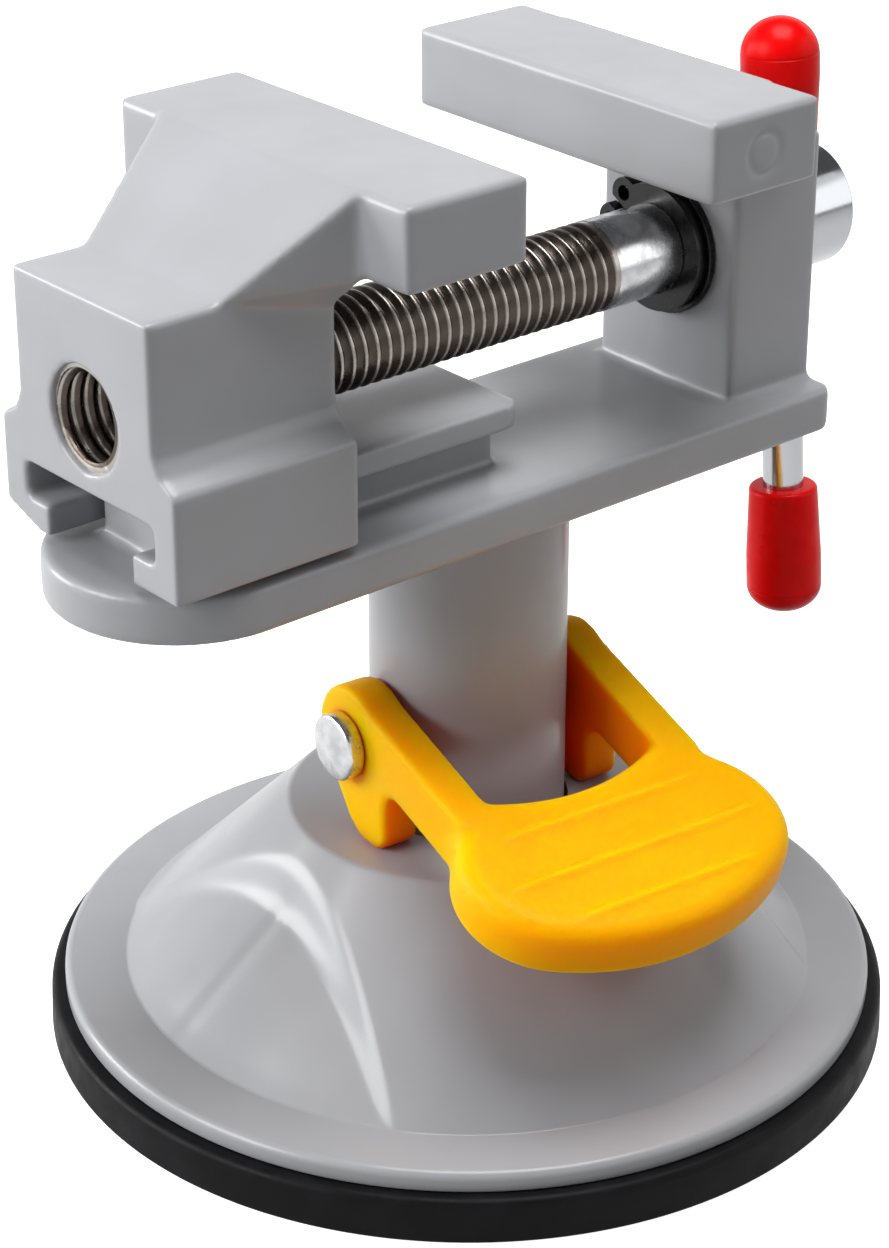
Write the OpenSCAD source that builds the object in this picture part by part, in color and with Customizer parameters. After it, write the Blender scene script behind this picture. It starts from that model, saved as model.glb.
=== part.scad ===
// Small bench vise on a suction foot.
// The foot is a rubber cup under a bell-shaped cover. A cam lever draws the cup's middle up,
// together with the column and the vise head that the column carries.
// Millimetres. +Z is up and the origin is on the bench at the centre of the foot.
// +X points from the moving jaw to the fixed jaw, and the lever's paddle is on the -Y side.

/* [Suction foot] */
// Radius of the rubber cup where it meets the bench
cup_r = 38.1; // [32:0.1:60]
// Height of the cup's rim
cup_h = 4.1; // [3.5:0.1:5]
// Thickness of the rubber across the cup
cup_t = 2.8; // [2:0.1:4]
// Width of the ring on which the cup seals
cup_seal_w = 5; // [3:0.5:6]
// Height of the cup's hollow in the middle while the cup is free
hollow_h = 2.9; // [2:0.1:4]
// Radius of the steel plate in the cup's middle
plate_r = 15; // [12:0.5:18]
// Thickness of that plate
plate_t = 2; // [1:0.5:4]
// How far the locked lever holds the cup's middle above its free height
lift = 2.8; // [1:0.1:2.8]

/* [Cover] */
// How far the cup's rim stands out round the cover's flange
cover_inset = 1.4; // [0.5:0.1:4]
// Thickness of the flange
flange_t = 1.9; // [1.2:0.1:4]
// Width of the flange outside the bell
flange_w = 5.4; // [3:0.1:10]
// Height of the bell above the flange
bell_rise = 15.3; // [12:0.1:30]
// Radius of the flat shoulder on which the cam feet press
shoulder_r = 16.5; // [15:0.1:20]
// Wall of the bell, measured upright
bell_wall = 3.6; // [3.4:0.1:5]
// Half the width of the front and back faces of the bell at their foot
face_half_w = 22.7; // [20:0.1:30]
// How far the bell's side faces are sunk at their top
side_sink = 2.9; // [0.5:0.1:3]
// How far the foot is turned under the vise head, in degrees
foot_turn = -6.2; // [-45:0.1:45]

/* [Column] */
// Radius of the column
column_r = 8.7; // [7:0.1:10]
// Bore of the column, in which the stem and the screw head lie
column_bore_r = 5.2; // [4.5:0.1:6]
// Height of the bed above the lever's pin
head_rise = 21.1; // [19:0.1:60]
// Radius of the stem that pulls the cup
stem_r = 5; // [4:0.1:5.1]
// Radius of the boss under the bed, which enters the column
boss_r = 5.8; // [5.5:0.1:7]
// Length of that boss
boss_h = 8; // [6:0.5:10]
// Radius of the screw that holds the bed on the column
column_screw_r = 2.5; // [2:0.5:3]

/* [Cam lever] */
// Distance from the pin down to the sole of the cam feet
cam_reach = 8.6; // [7.5:0.1:12]
// Radius of the ears round the pin
ear_r = 4.8; // [4:0.1:5.5]
// Thickness of each arm along the pin
arm_t = 3.7; // [2.5:0.1:5]
// Gap between an arm and the column
arm_gap = 0.3; // [0.3:0.1:2]
// Slope of the lever's top below level, in degrees
lever_slope = 17; // [5:0.5:20]
// Height of the lever's top above the pin's axis, square to the slope
lever_top = 5; // [4.5:0.1:5.2]
// Thickness of the paddle
paddle_t = 5.3; // [3:0.1:6]
// Half the width of the paddle
paddle_half_w = 15.7; // [15:0.1:20]
// Distance from the pin to the paddle's tip, along the slope
paddle_reach = 33.4; // [32:0.1:42]
// Radius of the pivot pin's shank
pin_r = 2; // [1.5:0.1:2.5]
// Radius of the pin's domed head
pin_head_r = 3; // [2.8:0.1:4.5]
// Height of the pin's domed head
pin_head_h = 1.8; // [1:0.1:2.5]

/* [Bed] */
// Half the width of the bed
bed_half_w = 11.3; // [10.5:0.1:16]
// Thickness of the bed
bed_t = 4.2; // [3.5:0.1:8]
// Reach of the bed's round front end
bed_front = 41.5; // [38:0.1:60]
// How far the bed stands out behind the post
bed_lip = 0.3; // [0:0.1:0.4]
// Half the width of the rail's head
rail_half_w = 6.9; // [6.4:0.1:8]
// Half the width of the rail's neck
rail_neck_half_w = 4.9; // [4:0.1:5.4]
// Thickness of the rail's head
rail_head_t = 2.3; // [1.5:0.1:3]
// Height of the rail above the bed
rail_h = 6; // [5:0.1:7]
// Reach of the rail to the front
rail_front = 34.4; // [30:0.1:36]
// Distance of the rail's back end from the column's axis
rail_back = 0.1; // [0:0.1:4]

/* [Jaws] */
// Height of the screw's axis above the bed
screw_rise = 12.6; // [12:0.1:20]
// Height of the jaws' top above the screw's axis
jaw_rise = 17.8; // [16:0.1:26]
// Half the width of the jaws
jaw_half_w = 18.15; // [15:0.05:30]
// Height of the clamping faces
jaw_h = 7; // [5:0.1:10]
// Thickness of each jaw along the screw
jaw_t = 12; // [8:0.1:14]
// Gap between the jaws as the vise stands
opening = 19.7; // [5:0.1:19.7]
// Face of the fixed jaw, measured from the column's axis
fixed_face = 9.8; // [8:0.1:10]
// Half the width of the neck where it joins a jaw
neck_half_w = 12.8; // [11:0.1:14]
// Length of a neck's sloping top
neck_run = 10.5; // [6:0.1:11]
// Half the width of the post
post_half_w = 8.3; // [8:0.1:10]
// Thickness of the post along the screw
post_t = 10.2; // [8:0.1:10.2]
// Length of the moving jaw's block
block_l = 17.75; // [15:0.05:20]
// Half the width of the block's upper part
block_half_w = 8.9; // [8:0.1:11]
// Half the width of the block's skirt, which grips the rail
skirt_half_w = 11.5; // [11:0.1:14]
// Gap under the skirt
skirt_gap = 0.7; // [0.3:0.1:1.5]
// Half the width of the block's T-slot
slot_half_w = 8.5; // [8:0.1:9]

/* [Screw and handle] */
// Radius of the screw over its thread
screw_r = 4; // [3:0.5:4]
// Travel of the moving jaw for one turn
screw_pitch = 1.25; // [1:0.25:2]
// Length of the screw in front of the post
screw_reach = 55.8; // [52:0.1:57]
// Radius of the screw's head
screw_head_r = 5.64; // [5:0.02:6]
// Length of the screw's head
screw_head_l = 8; // [7.8:0.1:9]
// Radius of the tommy bar
bar_r = 1.9; // [1.5:0.1:2]
// Length of the bar over its two caps
bar_length = 56.5; // [45:0.1:70]
// Radius of a cap
cap_r = 3.55; // [3:0.05:3.6]
// Length of the upper cap
upper_cap_l = 11.8; // [8:0.1:16]
// Length of the lower cap
lower_cap_l = 12.5; // [8:0.1:16]
// Lean of the bar from upright as the screw stands, in degrees
bar_lean = 4.4; // [-10:0.1:10]

/* [Fits] */
// Gap round a turning or sliding shaft, on the radius
running_gap = 0.05; // [0.02:0.01:0.1]
// Gap beside parts that slide or pass without guiding each other
free_gap = 0.3; // [0.2:0.05:0.5]

/* [Hidden] */
$fn = 48;
eps = 0.01;
seam = 0.05;
far = 200;

// Foot, from the bench up
flange_r = cup_r - cover_inset;
flange_z = cup_h + flange_t;
bell_r = flange_r - flange_w;
shoulder_z = flange_z + bell_rise;
plate_z = hollow_h + lift + cup_t;
ceiling_z = shoulder_z - bell_wall;
cavity_r = bell_r + flange_t - bell_wall;
cover_hole_r = column_r + free_gap;
guide_r = column_r + 2.3;
spring_wire_r = 0.6;
spring_r = guide_r + spring_wire_r + 0.4;
spring_turns = 3;
spring_low = plate_z + plate_t + spring_wire_r + 0.1;
spring_high = ceiling_z - spring_wire_r - 0.1;
spring_steps = 12;
spring_sides = 8;

// Column and lever
cam_gap = 0.1;
pin_z = shoulder_z + cam_gap + cam_reach;
bed_z = pin_z + head_rise;
stem_top = pin_z + 3.5;
boss_z = bed_z - boss_h;
web_z = boss_z - 2.8;
washer_t = 1.2;
screw_head_h = 2 * column_screw_r;
pin_hole_r = pin_r + running_gap;
arm_in = column_r + arm_gap;
arm_out = arm_in + arm_t;
ear_rise = 0.5;
foot_front = 5.5;
paddle_tip_r = 23.05;
paddle_corner_r = 8.2;
paddle_fillet_r = 5.5;
throat_r = 19.9;
throat_reach = 16.2;

// Bed, jaws and screw
bed_top = bed_z + bed_t;
rail_top = bed_top + rail_h;
screw_z = bed_top + screw_rise;
jaw_top = screw_z + jaw_rise;
jaw_z = jaw_top - jaw_h;
neck_z = jaw_z - 0.6;
post_x = fixed_face + jaw_t + 1;
post_back = post_x + post_t;
bed_back = post_back + bed_lip;
moving_face = fixed_face - opening;
block_back = moving_face - jaw_t + 0.65;
block_front = block_back - block_l;
skirt_z = bed_top + skirt_gap;
slot_top = rail_top + 0.4;
lip_top = rail_top - rail_head_t - free_gap;
throat_half_w = rail_neck_half_w + 0.7;
washer_x = post_x - running_gap - 0.7;
washer_w = 0.7;
clip_w = 1;
clip_x = washer_x - clip_w - running_gap;
groove_r = screw_r - 0.6;
head_x = post_back + 0.1;
bar_x = head_x + screw_head_l / 2;
bar_seat = screw_head_r + 0.05;
bar_end_cover = 1.6;

echo(jaw_width = 2 * jaw_half_w, opening = opening, height = jaw_top);

// ---------------------------------------------------------------- helpers

// Turns the foot's parts about the column's axis
module foot_frame() rotate([0, 0, foot_turn]) children();

// Lays a shaft along +X from x, on the screw's axis
module along_screw(x) translate([x, 0, screw_z]) rotate([0, 90, 0]) children();

// Stands the tommy bar's parts on the screw's axis, with z = 0 on that axis
module along_bar() translate([bar_x, 0, screw_z]) rotate([-bar_lean, 0, 0]) children();

// A block from one corner to the other
module block(low, high) translate(low) cube(high - low);

// ---------------------------------------------------------------- suction foot

// Rubber cup: a sealing ring, a thin web drawn up into a dome, and a pocket for the stem's foot
module suction_cup() {
  color("#1c1c20")
  difference() {
    rotate_extrude()
      polygon([
        [0, plate_z - cup_t], [plate_r, plate_z - cup_t],
        [cup_r - cup_seal_w, 0.8], [cup_r - cup_seal_w, 0], [cup_r, 0],
        [cup_r - 0.3, cup_h - 0.6], [cup_r - 0.9, cup_h],
        [cavity_r - 0.5, cup_h], [plate_r + 1, plate_z], [0, plate_z]
      ]);
    translate([0, 0, plate_z - 1.5]) cylinder(r = stem_r + 2 + free_gap, h = 1.5 + eps);
  }
}

// Steel plate bonded to the cup's middle
module cup_plate() {
  color("#a9abad")
  difference() {
    translate([0, 0, plate_z]) cylinder(r = plate_r, h = plate_t);
    translate([0, 0, plate_z - eps]) cylinder(r = stem_r + running_gap, h = plate_t + 2 * eps);
  }
}

// Steel stem: its foot sits under the plate and the pivot pin crosses its top
module cup_stem() {
  color("#8f9194")
  foot_frame()
  difference() {
    union() {
      translate([0, 0, plate_z - 1.2]) cylinder(r = stem_r + 2, h = 1.2);
      translate([0, 0, plate_z - 1.2]) cylinder(r = stem_r, h = stem_top - plate_z + 1.2);
    }
    translate([-far / 2, 0, pin_z]) rotate([0, 90, 0]) cylinder(r = pin_hole_r, h = far);
  }
}

// Spring between the plate and the cover: one round wire wound in a helix
module return_spring() {
  rings = spring_turns * spring_steps;
  rise = (spring_high - spring_low) / rings;
  points = [
    for (i = [0 : rings], k = [0 : spring_sides - 1])
      let (turn = 360 * i / spring_steps, side = 360 * k / spring_sides,
           r = spring_r + spring_wire_r * cos(side))
      [r * cos(turn), r * sin(turn), spring_low + rise * i + spring_wire_r * sin(side)]
  ];
  walls = [
    for (i = [0 : rings - 1], k = [0 : spring_sides - 1])
      let (next = (k + 1) % spring_sides, a = i * spring_sides, b = a + spring_sides)
      each [[a + k, a + next, b + next], [a + k, b + next, b + k]]
  ];
  start = [[for (k = [spring_sides - 1 : -1 : 0]) k]];
  end = [[for (k = [0 : spring_sides - 1]) rings * spring_sides + k]];
  color("#b8babc")
  polyhedron(points = points, faces = concat(walls, start, end));
}

// Cover: flange and bell in one shell, with a hole and a guide boss for the column.
// The bell's front and back are plain cone. Its two sides are sunk below the cone, which leaves
// a step that is highest at the shoulder and runs out at the flange.
module base_cover() {
  side_slope = (bell_rise - side_sink - 2) / (bell_r - shoulder_r - 2);
  color("#9b9da0")
  foot_frame()
  difference() {
    rotate_extrude()
      polygon([
        [cover_hole_r, shoulder_z], [shoulder_r - 1, shoulder_z], [shoulder_r, shoulder_z - 0.5],
        [bell_r, flange_z], [flange_r - 0.8, flange_z], [flange_r, flange_z - 0.8],
        [flange_r, cup_h], [cavity_r, cup_h],
        [shoulder_r - 0.5, ceiling_z], [guide_r, ceiling_z],
        [guide_r, ceiling_z - 3], [cover_hole_r, ceiling_z - 3]
      ]);
    for (side = [0, 180])
      rotate([0, 0, side])
      intersection() {
        translate([face_half_w, 0, flange_z])
          rotate([0, -18, 0])
          translate([0, -far / 2, -10]) cube([far, far, 10 + 0.84 * bell_rise]);
        rotate_extrude()
          polygon([
            [bell_r + 0.5, flange_z - 0.5 * side_slope],
            [bell_r + 0.5, shoulder_z + 1],
            [shoulder_r - 6, shoulder_z + 1],
            [shoulder_r - 6, flange_z + side_slope * (bell_r - shoulder_r + 6)]
          ]);
      }
  }
}

// ---------------------------------------------------------------- column

// Column: a tube with a web near its top, crossed by the lever's pin
module column() {
  foot = plate_z + plate_t;
  color("#97999c")
  foot_frame()
  difference() {
    translate([0, 0, foot]) cylinder(r = column_r, h = bed_z - foot);
    translate([0, 0, foot - eps]) cylinder(r = column_bore_r, h = web_z - foot + eps);
    translate([0, 0, web_z - eps]) cylinder(r = column_screw_r + 0.25, h = far);
    translate([0, 0, boss_z]) cylinder(r = boss_r + running_gap, h = far);
    translate([-far / 2, 0, pin_z]) rotate([0, 90, 0]) cylinder(r = pin_hole_r, h = far);
  }
}

// Socket-head screw that draws the bed down on the column
module column_screw() {
  head_top = web_z - washer_t;
  color("#4a4b4e")
  difference() {
    union() {
      translate([0, 0, head_top - screw_head_h]) cylinder(r = 1.7 * column_screw_r, h = screw_head_h);
      translate([0, 0, head_top - eps]) cylinder(r = column_screw_r, h = bed_z - head_top);
    }
    translate([0, 0, head_top - screw_head_h - eps])
      cylinder(r = 0.9 * column_screw_r, h = 0.55 * screw_head_h, $fn = 6);
  }
}

// Washer under that screw's head
module column_washer() {
  color("#8f9194")
  difference() {
    translate([0, 0, web_z - washer_t]) cylinder(r = 1.7 * column_screw_r + 0.3, h = washer_t);
    translate([0, 0, web_z - washer_t - eps])
      cylinder(r = column_screw_r + 0.1, h = washer_t + 2 * eps);
  }
}

// ---------------------------------------------------------------- cam lever

// Outline of the paddle, with +y running down the lever from the pin
module paddle_outline() {
  tip_y = paddle_reach - paddle_tip_r;
  corner_x = paddle_half_w - paddle_corner_r;
  corner_y = tip_y + sqrt(pow(paddle_tip_r - paddle_corner_r, 2) - pow(corner_x, 2));
  spread = corner_y - tip_y;
  fillet_x = arm_out + paddle_fillet_r;
  fillet_y = corner_y
    - sqrt(pow(paddle_corner_r + paddle_fillet_r, 2) - pow(fillet_x - corner_x, 2));
  difference() {
    union() {
      intersection() {
        translate([0, tip_y]) circle(r = paddle_tip_r, $fn = 96);
        translate([0, tip_y])
          polygon([
            [0, 0], [4 * corner_x, 4 * spread], [4 * corner_x, far],
            [-4 * corner_x, far], [-4 * corner_x, 4 * spread]
          ]);
      }
      for (side = [-1, 1])
        translate([side * corner_x, corner_y]) circle(r = paddle_corner_r);
      translate([-corner_x, corner_y - paddle_corner_r])
        square([2 * corner_x, paddle_corner_r + 1]);
      translate([-arm_out + seam, throat_reach - 4]) square([2 * (arm_out - seam), 8]);
      for (side = [-1, 1])
        difference() {
          polygon([[0, fillet_y], [side * fillet_x, fillet_y], [side * corner_x, corner_y]]);
          translate([side * fillet_x, fillet_y]) circle(r = paddle_fillet_r + seam);
        }
    }
    translate([0, throat_reach - throat_r]) circle(r = throat_r, $fn = 96);
    translate([-arm_in - seam, -far]) square([2 * (arm_in + seam), far + throat_reach - 2.5]);
  }
}

// Side view of one arm: ear, tapering arm and cam foot, with the pin at the origin.
// Its x runs towards the paddle and its y runs up.
module arm_outline() {
  slope = [cos(lever_slope), -sin(lever_slope)];
  up = [sin(lever_slope), cos(lever_slope)];
  reach = throat_reach + 1;
  difference() {
    union() {
      translate(up * ear_rise) circle(r = ear_r);
      polygon([
        up * lever_top + slope * 1.8, up * lever_top + slope * reach,
        up * (lever_top - paddle_t) + slope * reach,
        up * (lever_top - paddle_t) + slope * (foot_front + 2.2),
        [foot_front + 0.8, -3.6], [foot_front, -4.4], [foot_front, -cam_reach + 0.9],
        [foot_front - 0.9, -cam_reach], [1.8, -cam_reach], [-0.2, -cam_reach + 1.4],
        [-1.4, -ear_r - 0.7], up * ear_rise + [-0.87 * ear_r, -0.49 * ear_r]
      ]);
    }
    circle(r = pin_hole_r);
  }
}

// Cam lever: two arms astride the column, joined by the paddle.
// The paddle lies a seam's width below the arms' top, so that no faces fall together.
module cam_lever() {
  color("#ffb300")
  foot_frame()
  translate([0, 0, pin_z])
  union() {
    for (side = [-1, 1])
      translate([side * (arm_in + arm_t / 2), 0, 0])
        rotate([0, 0, -90]) rotate([90, 0, 0])
        linear_extrude(height = arm_t, center = true) arm_outline();
    rotate([lever_slope, 0, 0])
      translate([0, 0, lever_top - paddle_t - seam])
      mirror([0, 1, 0])
      linear_extrude(height = paddle_t) paddle_outline();
  }
}

// Pivot pin: a shank through lever, column and stem, with a domed head on the -X side
module pivot_pin() {
  tail = 2.4;
  dome_r = (pow(pin_head_r, 2) + pow(pin_head_h - 0.4, 2)) / (2 * (pin_head_h - 0.4));
  color("#d4d6d8")
  foot_frame()
  translate([-arm_out - running_gap, 0, pin_z]) rotate([0, 90, 0])
  union() {
    cylinder(r = pin_r, h = 2 * arm_out + 2 * running_gap + tail);
    translate([0, 0, -0.4]) cylinder(r = pin_head_r, h = 0.4);
    intersection() {
      translate([0, 0, dome_r - pin_head_h]) sphere(r = dome_r);
      translate([0, 0, -pin_head_h - eps]) cylinder(r = pin_head_r, h = pin_head_h - 0.4 + 2 * eps);
    }
  }
}

// Push-on ring that keeps the pin in place
module pin_ring() {
  color("#7f8184")
  foot_frame()
  translate([arm_out + 0.1, 0, pin_z]) rotate([0, 90, 0])
  difference() {
    cylinder(r = pin_head_r + 0.6, h = 0.8);
    translate([0, 0, -eps]) cylinder(r = pin_r, h = 1);
  }
}

// ---------------------------------------------------------------- vise head

// Jaw with its neck, growing from x = 0 (clamping face) towards +x, at height 0 = jaw_z
module jaw(neck_foot_half_w, neck_end) {
  overlap = 0.5;
  foot_z = neck_z - jaw_z;
  translate([0, -jaw_half_w, 0]) cube([jaw_t, 2 * jaw_half_w, jaw_h]);
  intersection() {
    rotate([90, 0, 0])
      linear_extrude(height = 2 * neck_half_w, center = true)
      polygon([
        [jaw_t - overlap, foot_z], [neck_end, foot_z], [neck_end, foot_z + 0.4],
        [jaw_t + neck_run, foot_z + 0.4], [jaw_t, jaw_h], [jaw_t - overlap, jaw_h]
      ]);
    translate([0, 0, foot_z - 1])
      linear_extrude(height = jaw_h + 4)
      polygon([
        [0, -neck_half_w], [jaw_t, -neck_half_w], [jaw_t + neck_run, -neck_foot_half_w],
        [neck_end + 1, -neck_foot_half_w], [neck_end + 1, neck_foot_half_w],
        [jaw_t + neck_run, neck_foot_half_w], [jaw_t, neck_half_w], [0, neck_half_w]
      ]);
  }
}

// Bed casting: bed, T-rail, post and fixed jaw, with the boss that enters the column
module vise_bed() {
  end_r = 1;
  color("#9b9da0")
  difference() {
    union() {
      translate([-bed_front + bed_half_w, 0, bed_z]) cylinder(r = bed_half_w, h = bed_t, $fn = 96);
      block([-bed_front + bed_half_w, -bed_half_w, bed_z], [bed_back - end_r, bed_half_w, bed_top]);
      block([0, -bed_half_w + end_r, bed_z], [bed_back, bed_half_w - end_r, bed_top]);
      for (side = [-1, 1])
        translate([bed_back - end_r, side * (bed_half_w - end_r), bed_z])
          cylinder(r = end_r, h = bed_t);
      translate([0, 0, boss_z]) cylinder(r = boss_r, h = boss_h + 1);
      block([-rail_front, -rail_neck_half_w, bed_top - eps],
            [-rail_back - 1.3, rail_neck_half_w, rail_top - 1]);
      block([-rail_front, -rail_half_w, rail_top - rail_head_t], [-rail_back, rail_half_w, rail_top]);
      block([post_x, -post_half_w, bed_top - eps], [post_back, post_half_w, neck_z + eps]);
      translate([fixed_face, 0, jaw_z]) jaw(post_half_w, post_back - fixed_face);
    }
    along_screw(post_x - 2) cylinder(r = screw_r + running_gap, h = post_t + 4);
    translate([0, 0, boss_z - eps]) cylinder(r = column_screw_r, h = boss_h + 1.5);
  }
}

// Section of the moving jaw's block, seen along the screw: x runs across and y runs up
module block_section() {
  difference() {
    polygon([
      [-skirt_half_w, skirt_z], [skirt_half_w - 4.3, skirt_z], [skirt_half_w, skirt_z + 1.5],
      [skirt_half_w, screw_z - 2.7], [block_half_w, screw_z - 0.9],
      [block_half_w, neck_z], [-block_half_w, neck_z],
      [-block_half_w, screw_z - 0.9], [-skirt_half_w, screw_z - 2.7]
    ]);
    translate([-throat_half_w, skirt_z - 1]) square([2 * throat_half_w, lip_top - skirt_z + 2]);
    translate([-slot_half_w, lip_top]) square([2 * slot_half_w, slot_top - lip_top]);
  }
}

// Moving jaw: a block that grips the rail, with the screw's thread through it
module moving_jaw() {
  color("#a3a5a8")
  difference() {
    union() {
      translate([block_front, 0, 0])
        rotate([90, 0, 90]) linear_extrude(height = block_l) block_section();
      translate([moving_face, 0, jaw_z]) mirror([1, 0, 0]) jaw(block_half_w, moving_face - block_front);
    }
    along_screw(block_front - 1) cylinder(r = screw_r + running_gap, h = block_l + 2);
    along_screw(block_front - eps) cylinder(r1 = screw_r + 0.4, r2 = screw_r, h = 0.4);
  }
}

// Lead screw: a shaft with a groove, and a head drilled for the tommy bar.
// The thread is left plain at its outer radius.
module lead_screw() {
  start = post_x - screw_reach;
  groove_low = clip_x - 0.02 - start;
  groove_high = clip_x + clip_w + 0.02 - start;
  head_low = head_x - start;
  head_high = head_low + screw_head_l;
  color("#b0b2b5")
  difference() {
    along_screw(start)
      rotate_extrude()
      polygon([
        [0, 0], [screw_r - 0.6, 0], [screw_r, 0.6],
        [screw_r, groove_low], [groove_r, groove_low],
        [groove_r, groove_high], [screw_r, groove_high],
        [screw_r, head_low], [screw_head_r - 0.4, head_low], [screw_head_r, head_low + 0.4],
        [screw_head_r, head_high - 0.6], [screw_head_r - 0.6, head_high], [0, head_high]
      ]);
    along_bar() translate([0, 0, -far / 2]) cylinder(r = bar_r + running_gap, h = far);
  }
}

// Circlip in the screw's groove: an open ring with two lugs, each with a hole
module circlip() {
  ring_r = screw_r + 1.7;
  lug_r = 1.5;
  lug_turn = 17;
  gap_turn = 30;
  color("#17171a")
  along_screw(clip_x) rotate([0, 0, 90 + gap_turn])
  difference() {
    union() {
      cylinder(r = ring_r, h = clip_w);
      for (side = [-1, 1])
        rotate([0, 0, side * lug_turn])
          translate([ring_r - 0.3, 0, 0]) cylinder(r = lug_r, h = clip_w);
    }
    translate([0, 0, -1]) cylinder(r = groove_r + 0.03, h = clip_w + 2);
    translate([0, -0.5, -1]) cube([far, 1, clip_w + 2]);
    for (side = [-1, 1])
      rotate([0, 0, side * lug_turn])
        translate([ring_r - 0.2, 0, -1]) cylinder(r = 0.7, h = clip_w + 2);
  }
}

// Washer between the circlip and the post
module thrust_washer() {
  color("#202024")
  along_screw(washer_x)
  difference() {
    cylinder(r = screw_r + 2.1, h = washer_w);
    translate([0, 0, -1]) cylinder(r = screw_r + running_gap, h = washer_w + 2);
  }
}

// Tommy bar, dropped in the head's hole until its upper cap rests on the head
module tommy_bar() {
  low = bar_seat + upper_cap_l - bar_length;
  color("#d9dbdd")
  along_bar()
  translate([0, 0, low + bar_end_cover]) cylinder(r = bar_r, h = bar_length - 2 * bar_end_cover);
}

// Cap with a blind hole, drawn upright with its open end at z = 0
module cap(cap_l) {
  inner_r = cap_r - 0.4;
  difference() {
    rotate_extrude()
      polygon(concat(
        [[0, 0], [inner_r - 0.3, 0], [inner_r, 0.3], [cap_r, cap_l * 0.55]],
        [for (a = [0 : 10 : 90]) [cap_r * cos(a), cap_l - 2.6 + 2.6 * sin(a)]]
      ));
    translate([0, 0, -eps]) cylinder(r = bar_r, h = cap_l - bar_end_cover + eps);
  }
}

module upper_cap() {
  color("#e01010")
  along_bar() translate([0, 0, bar_seat]) cap(upper_cap_l);
}

module lower_cap() {
  color("#e01010")
  along_bar() translate([0, 0, bar_seat + upper_cap_l + lower_cap_l - bar_length])
    mirror([0, 0, 1]) cap(lower_cap_l);
}

// ---------------------------------------------------------------- assembly

suction_cup();
cup_plate();
cup_stem();
return_spring();
base_cover();
column();
column_screw();
column_washer();
cam_lever();
pivot_pin();
pin_ring();
vise_bed();
moving_jaw();
lead_screw();
circlip();
thrust_washer();
tommy_bar();
upper_cap();
lower_cap();
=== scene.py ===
"""Small bench vise on a suction foot, as it looks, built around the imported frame.

Shapes are worked out in millimetres in the frame's own axes and stored in metres. The foot (cup,
cover, column, lever and pin) stands turned a little about the column under the vise head.
"""
import math

import bmesh
import bpy
from mathutils import Matrix, Vector


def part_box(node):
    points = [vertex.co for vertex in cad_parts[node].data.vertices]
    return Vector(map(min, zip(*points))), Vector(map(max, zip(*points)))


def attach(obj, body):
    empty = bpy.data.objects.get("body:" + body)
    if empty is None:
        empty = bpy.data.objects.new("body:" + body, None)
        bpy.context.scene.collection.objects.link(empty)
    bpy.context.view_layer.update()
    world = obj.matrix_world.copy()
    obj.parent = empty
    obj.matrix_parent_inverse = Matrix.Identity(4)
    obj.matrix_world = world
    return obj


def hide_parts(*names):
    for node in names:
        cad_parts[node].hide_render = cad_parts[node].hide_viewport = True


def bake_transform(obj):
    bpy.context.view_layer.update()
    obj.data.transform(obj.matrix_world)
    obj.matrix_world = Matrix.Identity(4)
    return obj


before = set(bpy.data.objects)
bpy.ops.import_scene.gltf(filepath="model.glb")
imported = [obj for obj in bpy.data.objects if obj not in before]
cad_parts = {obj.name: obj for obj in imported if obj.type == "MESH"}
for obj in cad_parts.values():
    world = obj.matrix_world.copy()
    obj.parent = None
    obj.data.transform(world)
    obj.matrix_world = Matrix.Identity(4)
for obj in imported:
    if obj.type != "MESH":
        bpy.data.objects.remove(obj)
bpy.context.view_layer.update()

MM = 0.001
TURN = 2 * math.pi


# ---------------------------------------------------------------- places and sizes

def span(node):
    """Lowest and highest corner of a CAD node, in millimetres."""
    low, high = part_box(node)
    return low / MM, high / MM


bed_low, bed_high = span("vise_bed")
jaw_low, jaw_high = span("moving_jaw")
cover_low, cover_high = span("base_cover")
cup_low, cup_high = span("suction_cup")
column_low, column_high = span("column")
washer_low, washer_high = span("thrust_washer")
clip_low, clip_high = span("circlip")
screw_low, screw_high = span("lead_screw")
ring_low, ring_high = span("pin_ring")

SCREW_Z = (washer_low.z + washer_high.z) / 2
PIN_Z = (ring_low.z + ring_high.z) / 2
CUP_R = cup_high.y
FLANGE_R = cover_high.y
COLUMN_R = column_high.y
HEAD_L = 8.0
BAR_X = screw_high.x - HEAD_L / 2
BAR_LEAN = math.radians(4.4)
FOOT_TURN = math.radians(-6.2)


# ---------------------------------------------------------------- camera

def place_camera():
    """Camera at the photograph's viewing angle; its frame is taken as 889 x 1248 pixels."""
    azimuth, elevation, roll = math.radians(-40.604), math.radians(26.363), math.radians(0.147)
    focal_pixels, shift_pixels, long_side = 3202.7, -4.6, 1248
    sensor = 36.0
    target, distance = Vector((-1.255, 1.075, 38.01)), 280.27
    back = Vector((math.sin(azimuth) * math.cos(elevation),
                   -math.cos(azimuth) * math.cos(elevation), math.sin(elevation)))
    right = Vector((math.cos(azimuth), math.sin(azimuth), 0))
    up = back.cross(right)
    right, up = (right * math.cos(roll) + up * math.sin(roll),
                 up * math.cos(roll) - right * math.sin(roll))
    data = bpy.data.cameras.new("camera")
    data.lens = focal_pixels / long_side * sensor
    data.sensor_width = sensor
    data.shift_x = shift_pixels / long_side
    data.clip_start, data.clip_end = 0.01, 20
    camera = bpy.data.objects.new("camera", data)
    turn = Matrix((right, up, back)).transposed().to_4x4()
    camera.matrix_world = Matrix.Translation((target + distance * back) * MM) @ turn
    bpy.context.scene.collection.objects.link(camera)
    bpy.context.scene.camera = camera


place_camera()


# ---------------------------------------------------------------- mesh helpers

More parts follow.
